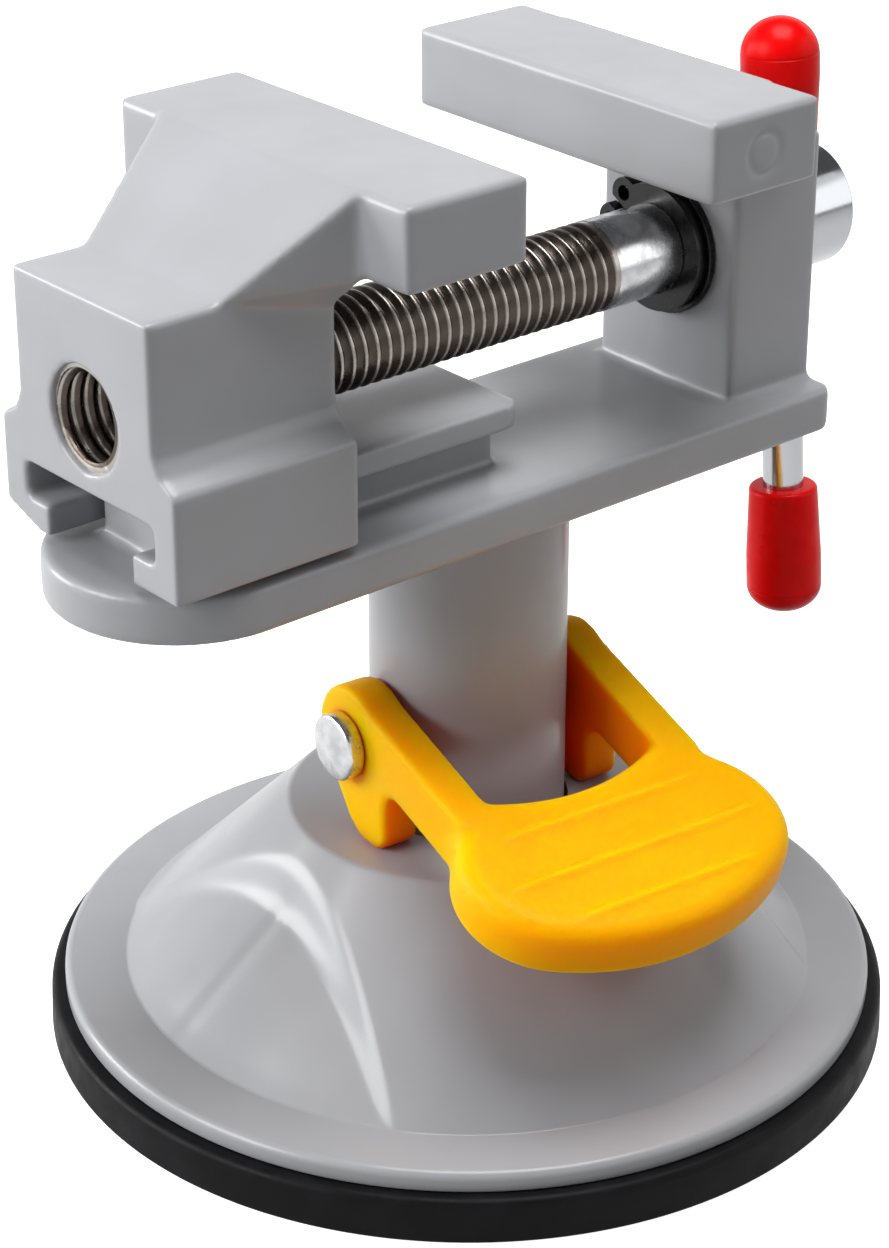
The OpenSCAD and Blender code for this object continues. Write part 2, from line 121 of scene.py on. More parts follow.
def arc(x, y, radius, start, end, steps):
    """Points of a round stretch, from one angle to another in degrees."""
    angles = [math.radians(start + (end - start) * i / steps) for i in range(steps + 1)]
    return [(x + radius * math.cos(a), y + radius * math.sin(a)) for a in angles]


def rounded(corners, closed=True, steps=6):
    """Outline whose corners are (x, y, radius), each rounded by an arc."""
    points = []
    for i, (x, y, radius) in enumerate(corners):
        corner = Vector((x, y))
        if radius == 0 or (not closed and i in (0, len(corners) - 1)):
            points.append((x, y))
            continue
        before = (Vector(corners[i - 1][:2]) - corner).normalized()
        after = (Vector(corners[(i + 1) % len(corners)][:2]) - corner).normalized()
        half = before.angle(after) / 2
        centre = corner + (before + after).normalized() * radius / math.sin(half)
        first = corner + before * radius / math.tan(half) - centre
        last = corner + after * radius / math.tan(half) - centre
        start = math.atan2(first.y, first.x)
        sweep = math.atan2(first.x * last.y - first.y * last.x, first.dot(last))
        points += arc(*centre, radius, math.degrees(start), math.degrees(start + sweep), steps)
    return points


def spun(profile, steps=128, closed=False):
    """Solid of revolution about Z from a half profile of (radius, height) points."""
    bm = bmesh.new()
    verts = [bm.verts.new((r, 0, z)) for r, z in profile]
    edges = [bm.edges.new(pair) for pair in zip(verts, verts[1:])]
    if closed:
        edges.append(bm.edges.new((verts[-1], verts[0])))
    bmesh.ops.spin(bm, geom=verts + edges, cent=(0, 0, 0), axis=(0, 0, 1), angle=TURN,
                   steps=steps, use_merge=True)
    bmesh.ops.remove_doubles(bm, verts=bm.verts, dist=1e-4)
    bmesh.ops.recalc_face_normals(bm, faces=bm.faces)
    return bm


def prism(outline, low, high):
    """Solid of one outline between two heights."""
    bm = bmesh.new()
    face = bm.faces.new([bm.verts.new((x, y, low)) for x, y in outline])
    grown = bmesh.ops.extrude_face_region(bm, geom=[face])
    top = [v for v in grown["geom"] if isinstance(v, bmesh.types.BMVert)]
    bmesh.ops.translate(bm, verts=top, vec=(0, 0, high - low))
    bmesh.ops.remove_doubles(bm, verts=bm.verts, dist=1e-4)
    bmesh.ops.recalc_face_normals(bm, faces=bm.faces)
    return bm


def pillow(outline, low, high, low_r, high_r):
    """Solid of one outline between two heights, its lower and upper rim rounded."""
    bm = prism(outline, low, high)
    for z, radius in ((low, low_r), (high, high_r)):
        rim = [e for e in bm.edges if all(abs(v.co.z - z) < 1e-4 for v in e.verts)]
        bmesh.ops.bevel(bm, geom=rim, offset=radius, affect="EDGES", segments=6, profile=0.5,
                        material=-1, clamp_overlap=False)
    return bm


def block(low, high):
    """Rectangular solid from one corner to the other."""
    bm = bmesh.new()
    bmesh.ops.create_cube(bm, size=1)
    size = Vector(high) - Vector(low)
    bmesh.ops.scale(bm, verts=bm.verts, vec=size)
    bmesh.ops.translate(bm, verts=bm.verts, vec=Vector(low) + size / 2)
    return bm


def wrapped(points):
    """Convex solid round a few points."""
    bm = bmesh.new()
    for point in points:
        bm.verts.new(point)
    bmesh.ops.convex_hull(bm, input=bm.verts)
    bmesh.ops.recalc_face_normals(bm, faces=bm.faces)
    return bm


def moved(bm, *steps):
    """The same mesh after these transforms, the last one first."""
    for matrix in reversed(steps):
        bmesh.ops.transform(bm, matrix=matrix, verts=bm.verts)
    return bm


def in_order(bm):
    """Sorts vertices and faces by place, because spin gives them in a new order at each run."""
    slanted = Vector((1, 0.618034, 0.381966))
    bm.verts.sort(key=lambda v: v.co.dot(slanted))
    bm.faces.sort(key=lambda f: f.calc_center_median().dot(slanted))


def loose_object(bm):
    """Object for a mesh that is still being worked on."""
    in_order(bm)
    mesh = bpy.data.meshes.new("work")
    bm.to_mesh(mesh)
    bm.free()
    obj = bpy.data.objects.new("work", mesh)
    bpy.context.scene.collection.objects.link(obj)
    return obj


def worked(obj, *helpers):
    """Mesh of an object with its modifiers applied; the object and its helpers are removed."""
    graph = bpy.context.evaluated_depsgraph_get()
    mesh = bpy.data.meshes.new_from_object(obj.evaluated_get(graph))
    bm = bmesh.new()
    bm.from_mesh(mesh)
    bpy.data.meshes.remove(mesh)
    for spent in (obj, *helpers):
        bpy.data.meshes.remove(spent.data)
    return bm


def combined(base, joins=(), cuts=()):
    """A mesh with others joined to it and cut from it."""
    obj = loose_object(base)
    tools = []
    for operation, meshes in (("UNION", joins), ("DIFFERENCE", cuts)):
        for bm in meshes:
            tools.append(loose_object(bm))
            modifier = obj.modifiers.new("join", "BOOLEAN")
            modifier.operation = operation
            modifier.solver = "EXACT"
            modifier.object = tools[-1]
    bpy.context.view_layer.update()
    bm = worked(obj, *tools)
    bmesh.ops.remove_doubles(bm, verts=bm.verts, dist=1e-4)
    bmesh.ops.dissolve_limit(bm, angle_limit=math.radians(0.5), verts=bm.verts, edges=bm.edges)
    return bm


def soften(bm, width, segments, sharper_than):
    """Rounds the mesh's edges that are sharper than an angle in degrees."""
    edges = [e for e in bm.edges
             if len(e.link_faces) == 2 and e.calc_face_angle(0) > math.radians(sharper_than)]
    bmesh.ops.bevel(bm, geom=edges, offset=width, affect="EDGES", segments=segments,
                    profile=0.5, material=-1, clamp_overlap=True)


def moulded(bm, grid, passes):
    """The solid as it comes out of a mould: an even skin, rounded at every edge and corner."""
    obj = loose_object(bm)
    remesh = obj.modifiers.new("grid", "REMESH")
    remesh.mode = "VOXEL"
    remesh.voxel_size = grid
    smooth = obj.modifiers.new("soft", "SMOOTH")
    smooth.factor = 0.5
    smooth.iterations = passes
    bpy.context.view_layer.update()
    bm = worked(obj)
    bmesh.ops.recalc_face_normals(bm, faces=bm.faces)
    return bm


def piece(bm, name, body, slot, material, *nodes, sharp=None):
    """Stores a mesh in metres as a piece that stands for CAD nodes; it rides on a body, if any."""
    in_order(bm)
    bmesh.ops.scale(bm, vec=(MM, MM, MM), verts=bm.verts)
    mesh = bpy.data.meshes.new(name)
    bm.to_mesh(mesh)
    bm.free()
    mesh.shade_smooth()
    if sharp:
        mesh.set_sharp_from_angle(angle=math.radians(sharp))
    mesh.materials.append(material)
    obj = bpy.data.objects.new(name, mesh)
    bpy.context.scene.collection.objects.link(obj)
    if body:
        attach(obj, body)
    if nodes:
        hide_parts(*nodes)
    return obj


def even_flats(obj):
    """Lets rounded edges shade smoothly into flat faces."""
    modifier = obj.modifiers.new("flats", "WEIGHTED_NORMAL")
    modifier.mode = "FACE_AREA"
    modifier.weight = 100
    modifier.keep_sharp = True


# Where each group of pieces stands: it is drawn about its own axis and then moved by one of these.
FOOT = Matrix.Rotation(FOOT_TURN, 4, "Z")
LEVER = FOOT @ Matrix.Translation((0, 0, PIN_Z))
ALONG_X = Matrix(((0, 0, 1, 0), (1, 0, 0, 0), (0, 1, 0, 0), (0, 0, 0, 1)))
SCREW = Matrix.Translation((0, 0, SCREW_Z)) @ ALONG_X
BAR = Matrix.Translation((BAR_X, 0, SCREW_Z)) @ Matrix.Rotation(-BAR_LEAN, 4, "X")


# ---------------------------------------------------------------- materials

def colour(code):
    """Linear colour of an sRGB hex value."""
    parts = [int(code[i:i + 2], 16) / 255 for i in (1, 3, 5)]
    return [c / 12.92 if c < 0.04045 else ((c + 0.055) / 1.055) ** 2.4 for c in parts] + [1]


def feed(tree, node, inputs):
    """Fills a node's inputs. An input is given a value, or a socket to link from."""
    for key, value in inputs.items():
        if isinstance(value, bpy.types.NodeSocket):
            tree.links.new(value, node.inputs[key])
        else:
            node.inputs[key].default_value = value


def add(tree, kind, inputs, **settings):
    """Adds a node with its settings and inputs."""
    node = tree.nodes.new(kind)
    for key, value in settings.items():
        setattr(node, key, value)
    feed(tree, node, inputs)
    return node


def new_material(name, base):
    """A new material, its surface shader in one base colour, and the piece's own coordinates."""
    material = bpy.data.materials.new(name)
    material.use_nodes = True
    tree = material.node_tree
    shader = tree.nodes["Principled BSDF"]
    shader.inputs["Base Color"].default_value = colour(base)
    place = add(tree, "ShaderNodeTexCoord", {}).outputs["Object"]
    return material, tree, shader, place


def patches(tree, place, size, low, high, detail=2.0, start=0.3, end=0.7):
    """A value that wanders from low to high, in patches about size millimetres wide.

    It is low where the noise is under start, and high where it is over end.
    """
    noise = add(tree, "ShaderNodeTexNoise",
                {"Vector": place, "Scale": 1 / (size * MM), "Detail": detail})
    stretched = add(tree, "ShaderNodeMapRange",
                    {"Value": noise.outputs["Fac"], "From Min": start, "From Max": end,
                     "To Min": low, "To Max": high})
    return stretched.outputs["Result"]


def grain(tree, place, size, depth, detail=2.0):
    """The normal of a surface with grain about size wide and depth deep, in millimetres."""
    noise = add(tree, "ShaderNodeTexNoise",
                {"Vector": place, "Scale": 1 / (size * MM), "Detail": detail})
    bump = add(tree, "ShaderNodeBump",
               {"Height": noise.outputs["Fac"], "Distance": depth * MM, "Strength": 1})
    return bump.outputs["Normal"]


# A colour mix takes its share at input 0 and its two colours at 6 and 7. Its output is number 2.

def grey_enamel():
    """Sprayed enamel on zinc castings: even grey under a glossy skin with faint orange peel."""
    material, tree, shader, place = new_material("grey_enamel", "#97989C")
    tint = add(tree, "ShaderNodeMix",
               {0: patches(tree, place, 9, 0, 1), 6: colour("#959699"), 7: colour("#9A9B9F")},
               data_type="RGBA")
    feed(tree, shader, {"Base Color": tint.outputs[2],
                        "Roughness": patches(tree, place, 5, 0.42, 0.52),
                        "Normal": grain(tree, place, 1.3, 0.005, detail=1.0),
                        "Coat Weight": 0.45, "Coat Roughness": 0.2,
                        "Specular IOR Level": 0.3})
    return material


def black_rubber():
    """Moulded black rubber: satin, with fine grain and a little dust on it.

    The grain is drawn 0.35 mm wide, wider than the real one, so that it shows.
    """
    material, tree, shader, place = new_material("black_rubber", "#0C0C0E")
    dust = patches(tree, place, 4, 0, 1, detail=6.0, start=0.45, end=0.75)
    tint = add(tree, "ShaderNodeMix", {0: dust, 6: colour("#0A0A0C"), 7: colour("#151518")},
               data_type="RGBA")
    feed(tree, shader, {"Base Color": tint.outputs[2],
                        "Roughness": patches(tree, place, 2, 0.42, 0.56),
                        "Normal": grain(tree, place, 0.35, 0.012, detail=3.0),
                        "Specular IOR Level": 0.1})
    return material


def yellow_nylon():
    """Moulded yellow nylon: light goes into it and comes out redder.

    Its base colour also carries painted shade: orange where ambient occlusion finds little open
    space, as between the arms, and yellow in the open.
    """
    material, tree, shader, place = new_material("yellow_nylon", "#FFA200")
    # Painted shade: the colour turns orange where the ambient occlusion is low.
    shade_occlusion = add(tree, "ShaderNodeAmbientOcclusion", {"Distance": 14 * MM})
    painted_light_share = add(tree, "ShaderNodeMapRange",
              {"Value": shade_occlusion.outputs["AO"], "From Min": 0.2, "From Max": 0.75})
    clouds = patches(tree, place, 6, 0.94, 1.0)
    share = add(tree, "ShaderNodeMath", {0: painted_light_share.outputs["Result"], 1: clouds},
                operation="MULTIPLY")
    tint = add(tree, "ShaderNodeMix",
               {0: share.outputs[0], 6: colour("#FF5400"), 7: colour("#FFAD00")},
               data_type="RGBA")
    feed(tree, shader, {"Base Color": tint.outputs[2],
                        "Roughness": patches(tree, place, 3, 0.36, 0.46),
                        "Normal": grain(tree, place, 0.5, 0.006),
                        "Subsurface Weight": 1.0, "Subsurface Scale": 7 * MM,
                        "Subsurface Radius": (1.0, 0.35, 0.05),
                        "Specular IOR Level": 0.05})
    return material


def red_vinyl():
    """Dipped red vinyl: glossy, with a slightly uneven skin."""
    material, tree, shader, place = new_material("red_vinyl", "#E00404")
    tint = add(tree, "ShaderNodeMix",
               {0: patches(tree, place, 3, 0, 1), 6: colour("#D80303"), 7: colour("#E80606")},
               data_type="RGBA")
    feed(tree, shader, {"Base Color": tint.outputs[2],
                        "Roughness": patches(tree, place, 2, 0.26, 0.38),
                        "Normal": grain(tree, place, 1.2, 0.02),
                        "Specular IOR Level": 0.1})
    return material


def nickel_chrome():
    """Nickel-chrome plate on turned steel: a slightly dull mirror with turning marks round X.

    The marks are drawn 0.3 mm wide, wider than the real ones, so that they show.
    """
    material, tree, shader, place = new_material("nickel_chrome_plate", "#B4B6B9")
    stretched = add(tree, "ShaderNodeMapping", {"Vector": place, "Scale": (1, 0.1, 0.1)})
    rings = stretched.outputs["Vector"]
    feed(tree, shader, {"Metallic": 1.0,
                        "Roughness": patches(tree, rings, 0.3, 0.1, 0.2, detail=3.0),
                        "Normal": grain(tree, rings, 0.3, 0.001, detail=3.0)})
    return material


def bright_zinc():
    """Bright zinc plate on steel: silvery and cloudy, not a mirror."""
    material, tree, shader, place = new_material("bright_zinc_plate", "#C4C6C8")
    clouds = patches(tree, place, 1.4, 0, 1, detail=4.0)
    tint = add(tree, "ShaderNodeMix", {0: clouds, 6: colour("#B4B6B8"), 7: colour("#D8D9DA")},
               data_type="RGBA")
    feed(tree, shader, {"Metallic": 1.0, "Base Color": tint.outputs[2],
                        "Roughness": patches(tree, place, 1.4, 0.32, 0.18, detail=4.0),
                        "Normal": grain(tree, place, 0.5, 0.01, detail=3.0)})
    return material


def black_oxide():
    """Blackened spring steel, slightly oily: deep black with small highlights."""
    material, tree, shader, place = new_material("black_oxide_steel", "#060607")
    feed(tree, shader, {"Roughness": patches(tree, place, 1.0, 0.24, 0.38),
                        "Normal": grain(tree, place, 0.4, 0.004),
                        "Coat Weight": 0.08, "Coat Roughness": 0.12,
                        "Specular IOR Level": 0.25})
    return material


def thread_steel():
    """Rolled steel thread, with painted shade in its grooves and a painted highlight on its
    crests.

    A crest is known by its distance from the screw's axis.
    """
    shade_below_radius, highlight_above_radius = 3.88 * MM, 3.98 * MM
    material, tree, shader, place = new_material("rolled_thread_steel", "#8A8784")
    off_axis = add(tree, "ShaderNodeMapping",
                   {"Vector": place, "Location": (0, 0, -SCREW_Z * MM), "Scale": (0, 1, 1)})
    radius = add(tree, "ShaderNodeVectorMath", {0: off_axis.outputs["Vector"]},
                 operation="LENGTH")
    crest = add(tree, "ShaderNodeMapRange",
                {"Value": radius.outputs["Value"], "From Min": shade_below_radius,
                 "From Max": highlight_above_radius})
    # Painted shade in the grooves, painted highlight on the crests.
    tint = add(tree, "ShaderNodeMix",
               {0: crest.outputs["Result"], 6: colour("#4E4641"), 7: colour("#9E9892")},
               data_type="RGBA")
    feed(tree, shader, {"Metallic": 1.0, "Base Color": tint.outputs[2],
                        "Roughness": patches(tree, place, 0.8, 0.22, 0.4, detail=3.0),
                        "Normal": grain(tree, place, 0.5, 0.02, detail=3.0)})
    return material


enamel = grey_enamel()
rubber = black_rubber()
nylon = yellow_nylon()
vinyl = red_vinyl()
chrome = nickel_chrome()
zinc = bright_zinc()
oxide = black_oxide()
thread = thread_steel()


# ---------------------------------------------------------------- suction foot

BELL_R = 31.3


def make_cup():
    """Rubber cup: a sealing ring, an outer wall with a rounded rim, and a web drawn up inside."""
    rim, web, socket = cup_low.z + 4.1, cup_high.z - 2.8, cup_high.z - 1.5
    web_r, wall_r, top_r, socket_r, ring_w = 15, 29, 16, 7.3, 5
    profile = [(0, web)]
    profile += rounded([(web_r, web, 0), (CUP_R - ring_w, 0.8, 0.6),
                        (CUP_R - ring_w + 0.1, 0, 0.2), (CUP_R, 0, 0.35),
                        (CUP_R - 0.15, rim, 0.75), (wall_r, rim, 0)], closed=False)
    profile += [(top_r, cup_high.z), (socket_r, cup_high.z), (socket_r, socket), (0, socket)]
    cup = piece(spun(profile, 192), "suction_cup_skin", None, "black_rubber", rubber,
                "suction_cup", sharp=40)
    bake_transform(cup)


def smooth_low(a, b, crease):
    """The lower of two heights, with the crease between them rounded."""
    nearness = max(crease - abs(a - b), 0) / crease
    return min(a, b) - nearness * nearness * crease / 4


def smooth_high(a, b, crease):
    """The higher of two heights, with the crease between them rounded."""
    return -smooth_low(-a, -b, crease)


def sunk(x, y, z, flange_z):
    """Height of the cover over a point of its plain bell, with the two sides sunk.

    A sunk side is a steep wall, then a gentle cone down to the flange. The mould's parting line
    is a fine groove down the middle of the cone.
    """
    wall_foot, wall_run = 22.6, 0.33
    cone_slope, line_depth, line_half_w = 0.81, 0.22, 0.9
    wall = flange_z + (wall_foot - abs(x)) / wall_run
    line = line_depth * math.exp(-(y / line_half_w) ** 2)
    cone = flange_z + (BELL_R - math.hypot(x, y)) * cone_slope - line
    side = smooth_high(wall, smooth_high(cone, flange_z, 1.6), 2.0)
    return max(smooth_low(z, side, 1.4), min(z, flange_z))


def cover_profile(top_z, flange_z, low_z):
    """Half profile of the cover's shell, from the hole at its top; the bell is cut into rows."""
    hole_r, shoulder_r, wall, rows = 9.05, 16.2, 3.6, 66
    collar_r, collar_h, flange_in_r = 11, 3, 29.6
    shoulder = rounded([(hole_r, top_z, 0), (shoulder_r - 0.15, top_z, 0.8),
                        (BELL_R, flange_z, 0)], closed=False)[:-1]
    last_r, last_z = shoulder[-1]
    cone = [(last_r + (BELL_R - last_r) * i / rows, last_z + (flange_z - last_z) * i / rows)
            for i in range(1, rows)]
    flange = rounded([cone[-1] + (0,), (BELL_R, flange_z, 0.35), (FLANGE_R, flange_z, 0.75),
                      (FLANGE_R, low_z, 0.3), (flange_in_r, low_z, 0)], closed=False)[1:]
    inside = [(shoulder_r - 0.2, top_z - wall), (collar_r, top_z - wall),
              (collar_r, top_z - wall - collar_h), (hole_r, top_z - wall - collar_h)]
    return shoulder + cone + flange + inside


def make_cover():
    """Cover: one shell of flange and bell, fine enough for its soft creases."""
    flange_z, bell_slope, under_skin = cover_low.z + 1.9, 0.94, 0.6
    bm = spun(cover_profile(cover_high.z, flange_z, cover_low.z), 480, closed=True)
    for vert in bm.verts:
        rho = math.hypot(vert.co.x, vert.co.y)
        outer = vert.co.z > flange_z + (BELL_R - rho) * bell_slope - under_skin
        if outer and 12 < rho < BELL_R + 1.5:
            vert.co.z = sunk(*vert.co, flange_z)
    moved(bm, FOOT)
    piece(bm, "bell_cover", "base", "grey_paint", enamel, "base_cover", sharp=50)


def make_column():
    """Round column between the cover and the bed."""
    profile = rounded([(0, column_low.z, 0), (COLUMN_R, column_low.z, 0.3),
                       (COLUMN_R, column_high.z, 0), (0, column_high.z, 0)], closed=False)
    piece(spun(profile), "column_tube", "vise", "grey_paint", enamel, "column", sharp=40)


make_cup()
make_cover()
make_column()


# ---------------------------------------------------------------- cam lever and pin

# The lever is drawn as it lies when pressed down, with the pin's axis through the origin. Its top
# is one plane at LEVER_TOP from that axis, which slopes down to the paddle by SLOPE degrees.
SLOPE = 17
LEVER_TOP, PADDLE_T, ARM_IN, ARM_OUT = 5.0, 5.3, 9.0, 12.7
EAR_R, EAR_RISE, CAM_REACH = 4.8, 0.5, 8.6
LEVER_GRID, LEVER_PASSES = 0.26, 18


def paddle_outline():
    """Outline of the paddle: x across, y down the slope from the pin."""
    root_y, fillet_r = 10.5, 5.5
    tip_y, tip_r, corner_x, corner_r = 10.35, 23.05, 7.5, 8.2
    throat_y, throat_r, throat_half_angle = -3.65, 19.85, 26.9
    corner_y = tip_y + math.sqrt((tip_r - corner_r) ** 2 - corner_x ** 2)
    fillet_x = ARM_OUT + fillet_r
    fillet_y = corner_y - math.sqrt((corner_r + fillet_r) ** 2 - (fillet_x - corner_x) ** 2)
    meet = math.degrees(math.atan2(corner_y - fillet_y, corner_x - fillet_x))
    side = math.degrees(math.atan2(corner_y - tip_y, corner_x))
    half = [(ARM_IN, root_y), (ARM_OUT, root_y)]
    half += arc(fillet_x, fillet_y, fillet_r, 180, meet, 8)
    half += arc(corner_x, corner_y, corner_r, meet - 180, side, 18)[1:]
    half += arc(0, tip_y, tip_r, side, 90, 24)[1:]
    mirrored = [(-x, y) for x, y in reversed(half[:-1])]
    throat = arc(0, throat_y, throat_r, 90 + throat_half_angle, 90 - throat_half_angle, 20)
    return half + mirrored + throat


def arm_outline():
    """Side view of an arm with its ear and cam foot: x towards the paddle, y up."""
    slope = Vector((math.cos(math.radians(SLOPE)), -math.sin(math.radians(SLOPE))))
    up = Vector((-slope.y, slope.x))
    low, reach = LEVER_TOP - PADDLE_T, 16.5
    ear_start = 90 - SLOPE - math.degrees(math.acos((LEVER_TOP - EAR_RISE) / EAR_R))
    ear_end = 205
    ear = arc(*(up * EAR_RISE), EAR_R, ear_start, ear_end, 24)
    # Down the back of the cam foot, round its toe, and up its front to the arm's underside.
    foot = rounded([ear[-1] + (0,), (-1.3, -5.6, 3.0), (0.0, -7.4, 1.6),
                    (1.7, -CAM_REACH, 1.6), (4.7, -CAM_REACH, 1.0), (5.5, -7.6, 0.8),
                    (5.5, -2.0, 1.6), tuple(up * low + slope * reach) + (0,)],
                   closed=False, steps=5)[1:]
    return ear + foot + [tuple(up * LEVER_TOP + slope * reach)]


def lever_solid():
    """Two arms and the paddle, joined and drilled for the pin, their edges still sharp."""
    arm_t, arm_middle = ARM_OUT - ARM_IN, (ARM_IN + ARM_OUT) / 2
    upright = Matrix(((0, 0, 1, 0), (-1, 0, 0, 0), (0, 1, 0, 0), (0, 0, 0, 1)))
    arms = []
    for side in (-1, 1):
        arm = prism(arm_outline(), -arm_t / 2, arm_t / 2)
        arms.append(moved(arm, Matrix.Translation((side * arm_middle, 0, 0)), upright))
    lower_rim, upper_rim = 1.2, 1.8
    paddle = pillow([(x, -y) for x, y in reversed(paddle_outline())], LEVER_TOP - PADDLE_T,
                    LEVER_TOP, lower_rim, upper_rim)
    moved(paddle, Matrix.Rotation(math.radians(SLOPE), 4, "X"))
    hole_r, far = 2.1, 20
    pin_hole = moved(spun([(0, -far), (hole_r, -far), (hole_r, far), (0, far)], 48), ALONG_X)
    return combined(paddle, arms, [pin_hole])


def make_lever():
    """Lever: the joined solid, remeshed and smoothed, with three fine ridges for the finger."""
    ridge_h, ridge_half_w, ridge_end = 0.2, 0.38, 1.5
    ridges = ((19.4, 10.5), (24.6, 13.0), (29.4, 9.5))
    bm = moulded(lever_solid(), LEVER_GRID, LEVER_PASSES)
    to_slope = Matrix.Rotation(-math.radians(SLOPE), 4, "X")
    up = to_slope.transposed() @ Vector((0, 0, 1))
    for vert in bm.verts:
        flat = to_slope @ vert.co
        if flat.z < LEVER_TOP - 0.4:
            continue
        for place, half_l in ridges:
            end = min(max((half_l - abs(flat.x)) / ridge_end, 0), 1)
            vert.co += up * ridge_h * end * math.exp(-((-flat.y - place) / ridge_half_w) ** 2)
    moved(bm, LEVER)
    piece(bm, "lever_moulding", "lever", "yellow_plastic", nylon, "cam_lever")


def make_pin():
    """Pivot pin: shank and domed head with a rounded rim, drawn from the dome's top upwards."""
    head_r, head_h, dome_h, neck_r, shank_r = 3.0, 1.8, 0.35, 2.6, 2.0
    tail, tail_r = 2 * ARM_OUT + 2.3, 1.7
    dome_r = (head_r ** 2 + dome_h ** 2) / (2 * dome_h)
    rows = 12
    angles = [math.asin(head_r / dome_r) * i / rows for i in range(1, rows)]
    dome = [(dome_r * math.sin(a), -head_h + dome_r * (1 - math.cos(a))) for a in angles]
    head = rounded([dome[-1] + (0,), (head_r, -head_h + dome_h, 0.3), (head_r, 0, 0.2),
                    (neck_r, 0, 0)], closed=False)[1:]
    shank = [(shank_r, 0), (shank_r, tail), (tail_r, tail + 0.2), (0, tail + 0.2)]
    turned = Matrix.Rotation(math.pi / 2, 4, "Y")
    bm = moved(spun([(0, -head_h)] + dome + head + shank, 96), LEVER,
               Matrix.Translation((-ARM_OUT - 0.05, 0, 0)), turned)
    piece(bm, "pin_with_head", "vise", "zinc_steel", zinc, "pivot_pin", sharp=40)


make_lever()
make_pin()


# ---------------------------------------------------------------- castings of the vise head

JAW_HALF_W, JAW_T, JAW_OPENING = jaw_high.y, 12.0, 19.7
JAW_BOTTOM = jaw_high.z - 7.0
NECK_BOTTOM = JAW_BOTTOM - 0.6
NECK_HALF_W, NECK_RUN = 12.8, 10.5
BLOCK_HALF_W, POST_HALF_W = 8.9, 8.3
BED_TOP = 55.3
CAST_GRID, CAST_PASSES = 0.3, 10


def neck(face, half_w):
    """Neck behind a jaw, growing towards +X: sloping top, flared sides, gusset below."""
    back, end, top = face + JAW_T, face + JAW_T + NECK_RUN, jaw_high.z
    points = []
    for side in (-1, 1):
        points += [(end, side * (half_w - 0.1), NECK_BOTTOM),
                   (back - 0.5, side * (half_w - 0.1), JAW_BOTTOM - 3.4),
                   (back - 0.5, side * (NECK_HALF_W - 0.4), JAW_BOTTOM - 0.3),
                   (back - 0.5, side * NECK_HALF_W, top), (back, side * NECK_HALF_W, top)]
    return wrapped(points)


def block_section():
    """Section of the sliding block across X: T-slot between two skirts, narrower above them."""
    skirt_z, skirt, chamfer_w, chamfer_h = jaw_low.z, 11.5, 4.3, 1.5
    slot_low, slot_high, slot, throat = 58.7, 61.7, 8.5, 5.6
    left_foot = [(-skirt, skirt_z), (-throat, skirt_z)]
    slot_walls = [(-throat, slot_low), (-slot, slot_low), (-slot, slot_high), (slot, slot_high),
                  (slot, slot_low), (throat, slot_low)]
    right_foot = [(throat, skirt_z), (skirt - chamfer_w, skirt_z), (skirt, skirt_z + chamfer_h)]
    side = [(skirt, SCREW_Z - 2.9), (BLOCK_HALF_W + 0.9, SCREW_Z - 1.9),
            (BLOCK_HALF_W + 0.15, SCREW_Z - 0.9), (BLOCK_HALF_W, SCREW_Z + 0.4),
            (BLOCK_HALF_W, NECK_BOTTOM)]
    mirrored = [(-y, z) for y, z in reversed(side)]
    return left_foot + slot_walls + right_foot + side + mirrored


def make_moving_jaw():
    """Moving jaw: block that grips the rail, neck and jaw, with the hole for its thread."""
    front, back, hole_r = jaw_low.x, jaw_high.x - JAW_T + 0.65, 4.35
    body = moved(prism(block_section(), front, back), ALONG_X)
    jaw = block((jaw_high.x - JAW_T, -JAW_HALF_W, JAW_BOTTOM),
                (jaw_high.x, JAW_HALF_W, jaw_high.z))
    mirror = Matrix.Scale(-1, 4, (1, 0, 0))
    joining = moved(neck(-jaw_high.x, BLOCK_HALF_W), mirror)
    bmesh.ops.recalc_face_normals(joining, faces=joining.faces)
    hole = moved(spun([(0, front - 5), (hole_r, front - 5), (hole_r, jaw_high.x),
                       (0, jaw_high.x)], 64), SCREW)
    bm = moulded(combined(body, [joining, jaw], [hole]), CAST_GRID, CAST_PASSES)
    piece(bm, "moving_jaw_casting", "jaw", "grey_paint", enamel, "moving_jaw")


def rail():
    """The T-shaped rail that the block slides on: its stem and its head."""
    top, head_t, half_w, stem_half_w = 61.3, 2.3, 6.9, 4.9
    front, back, stem_back = -34.4, -0.15, -1.4
    stem = prism(rounded([(front, -stem_half_w, 0), (stem_back, -stem_half_w, 0.8),
                          (stem_back, stem_half_w, 0.8), (front, stem_half_w, 0)]),
                 BED_TOP - 1, top - 1)
    head = prism(rounded([(front, -half_w, 0.8), (back, -half_w, 1.4), (back, half_w, 1.4),
                          (front, half_w, 0.8)]), top - head_t, top)
    return [stem, head]


def post(front, back):
    """Post under the fixed jaw; its front face comes to a low upright ridge in the middle."""
    side_x, ridge = front + 0.12, 0.3
    outline = [(side_x, -POST_HALF_W), (back, -POST_HALF_W), (back, POST_HALF_W),
               (side_x, POST_HALF_W), (side_x - ridge, 0)]
    return prism(outline, BED_TOP - 1, NECK_BOTTOM)


